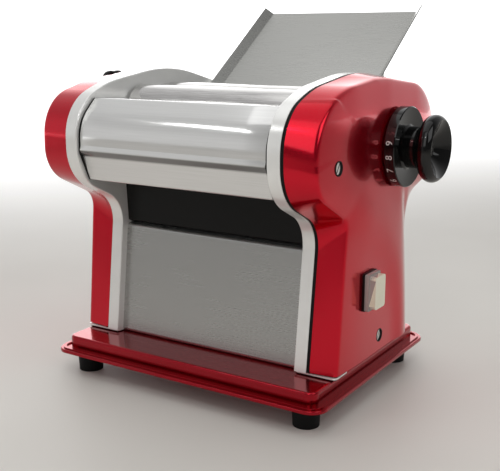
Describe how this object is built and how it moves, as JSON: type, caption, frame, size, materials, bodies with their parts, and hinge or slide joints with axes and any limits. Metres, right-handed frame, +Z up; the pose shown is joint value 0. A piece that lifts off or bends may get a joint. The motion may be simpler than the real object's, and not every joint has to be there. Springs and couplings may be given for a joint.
{
  "type": "pasta roller machine",
  "caption": "Electric dough sheeter and noodle cutter: red end casings on a stamped base, steel rollers between chrome side frames, thickness dial, rocker switch and rear feed tray.",
  "frame": {"origin": "on the table, under the middle of the base plate", "axes": "+X along the rollers towards the dial and switch, -Y towards the front where the noodles come out, +Z up"},
  "size_m": [0.3486, 0.3306, 0.3613],
  "materials": {
    "red_base": "deep red metallic paint under clear lacquer, high gloss",
    "red_casing": "deep red metallic paint under clear lacquer, high gloss",
    "rubber": "matt black moulded rubber",
    "zinc_steel": "zinc-plated steel, satin",
    "bright_screw": "bright nickel plate",
    "chrome_trim": "mirror chrome plate on a cast frame",
    "polished_steel": "stainless sheet polished nearly to a mirror",
    "tray_steel": "stainless sheet, fine satin",
    "roller_steel": "ground and polished stainless steel",
    "bronze": "sintered bronze, satin",
    "gear_steel": "machined steel with a film of grease",
    "motor_paint": "dark grey enamel",
    "black_gloss": "polished black phenolic, high gloss",
    "black_plastic": "black moulded plastic, satin",
    "cream_plastic": "cream moulded plastic, satin",
    "clear_silicone": "clear soft silicone"
  },
  "bodies": {
    "machine": {"base_plate": "red_base", "rubber_feet": "rubber", "foot_screws": "zinc_steel", "frame_bolts": "zinc_steel", "frame_nuts": "zinc_steel", "base_gaskets": "rubber", "left_side_frame": "chrome_trim", "right_side_frame": "chrome_trim", "casing_gaskets": "rubber", "left_casing": "red_casing", "right_casing": "red_casing", "casing_posts": "zinc_steel", "casing_screws": "bright_screw", "tie_rods": "zinc_steel", "tie_nuts": "zinc_steel", "front_cover": "polished_steel", "rear_cover": "polished_steel", "lower_panel": "polished_steel", "cover_brackets": "black_plastic", "cover_pads": "rubber", "shaft_bushes": "bronze", "idler_pins": "zinc_steel", "motor_body": "motor_paint", "motor_bracket": "zinc_steel", "dial_bushes": "bronze", "switch_body": "black_plastic", "switch_boot": "clear_silicone", "roller_scrapers": "tray_steel", "cutter_combs": "tray_steel", "comb_holder": "black_plastic", "selector_bush": "bronze", "cable_gland": "black_plastic"},
    "front_roller": {"front_smooth_roller": "roller_steel", "front_roller_gears": "gear_steel"},
    "gap_blocks": {"bearing_blocks": "zinc_steel"},
    "rear_roller": {"rear_smooth_roller": "roller_steel", "rear_roller_gear": "gear_steel"},
    "rear_cutter": {"rear_cutter_roller": "roller_steel", "rear_cutter_gears": "gear_steel"},
    "front_cutter": {"front_cutter_roller": "roller_steel", "front_cutter_gear": "gear_steel"},
    "upper_idler": {"upper_idler_gear": "gear_steel"},
    "lower_idler": {"lower_idler_gear": "gear_steel"},
    "motor_rotor": {"motor_pinion": "gear_steel"},
    "dial_spindle": {"dial_shaft": "zinc_steel", "gap_cams": "gear_steel", "dial_spring": "zinc_steel"},
    "dial": {"thickness_dial": "black_gloss", "dial_knob": "black_gloss", "index_pin": "zinc_steel"},
    "rocker": {"switch_rocker": "cream_plastic"},
    "tray": {"feed_tray": "tray_steel"},
    "selector": {"selector_knob": "black_gloss"}
  },
  "joints": [
    {"name": "front_roller_spin", "type": "hinge", "parent": "machine", "child": "front_roller", "pos_m": [0, -0.03, 0.258], "axis": [1, 0, 0], "continuous": true},
    {"name": "gap_slide", "type": "slide", "parent": "machine", "child": "gap_blocks", "axis": [0, 1, 0], "range_m": [0, 0.0027]},
    {"name": "rear_roller_spin", "type": "hinge", "parent": "gap_blocks", "child": "rear_roller", "pos_m": [0, 0.02, 0.258], "axis": [1, 0, 0], "continuous": true},
    {"name": "rear_cutter_spin", "type": "hinge", "parent": "machine", "child": "rear_cutter", "pos_m": [0, -0.0645, 0.22911], "axis": [1, 0, 0], "continuous": true},
    {"name": "front_cutter_spin", "type": "hinge", "parent": "machine", "child": "front_cutter", "pos_m": [0, -0.0985, 0.22911], "axis": [1, 0, 0], "continuous": true},
    {"name": "upper_idler_spin", "type": "hinge", "parent": "machine", "child": "upper_idler", "pos_m": [0, -0.004, 0.19842], "axis": [1, 0, 0], "continuous": true},
    {"name": "lower_idler_spin", "type": "hinge", "parent": "machine", "child": "lower_idler", "pos_m": [0, 0.008, 0.14577], "axis": [1, 0, 0], "continuous": true},
    {"name": "motor_spin", "type": "hinge", "parent": "machine", "child": "motor_rotor", "pos_m": [0, 0.02, 0.09312], "axis": [1, 0, 0], "continuous": true},
    {"name": "dial_turn", "type": "hinge", "parent": "machine", "child": "dial_spindle", "pos_m": [0, 0.038, 0.23], "axis": [1, 0, 0], "range_deg": [0, 160]},
    {"name": "dial_pull", "type": "slide", "parent": "dial_spindle", "child": "dial", "axis": [1, 0, 0], "range_m": [0, 0.005], "stiffness_N_per_m": 1500, "springref_m": -0.002, "deforming": ["dial_spring"]},
    {"name": "switch_rock", "type": "hinge", "parent": "machine", "child": "rocker", "pos_m": [0.142, -0.018, 0.106], "axis": [0, 1, 0], "range_deg": [-12, 0]},
    {"name": "tray_lift", "type": "slide", "parent": "machine", "child": "tray", "axis": [0, 0, 1], "range_m": [0, 0.06]},
    {"name": "selector_turn", "type": "hinge", "parent": "machine", "child": "selector", "pos_m": [0, -0.014, 0.279], "axis": [1, 0, 0], "range_deg": [-90, 0]}
  ],
  "couplings": [
    {"joint": "rear_roller_spin", "follows": "front_roller_spin", "ratio": -1},
    {"joint": "rear_cutter_spin", "follows": "front_roller_spin", "ratio": -1.25},
    {"joint": "front_cutter_spin", "follows": "front_roller_spin", "ratio": 1.25},
    {"joint": "upper_idler_spin", "follows": "front_roller_spin", "ratio": -0.625},
    {"joint": "lower_idler_spin", "follows": "front_roller_spin", "ratio": 1.7857},
    {"joint": "motor_spin", "follows": "front_roller_spin", "ratio": -8.9286},
    {"joint": "dial_turn", "follows": "gap_slide", "rad_per_m": 1034.3}
  ]
}
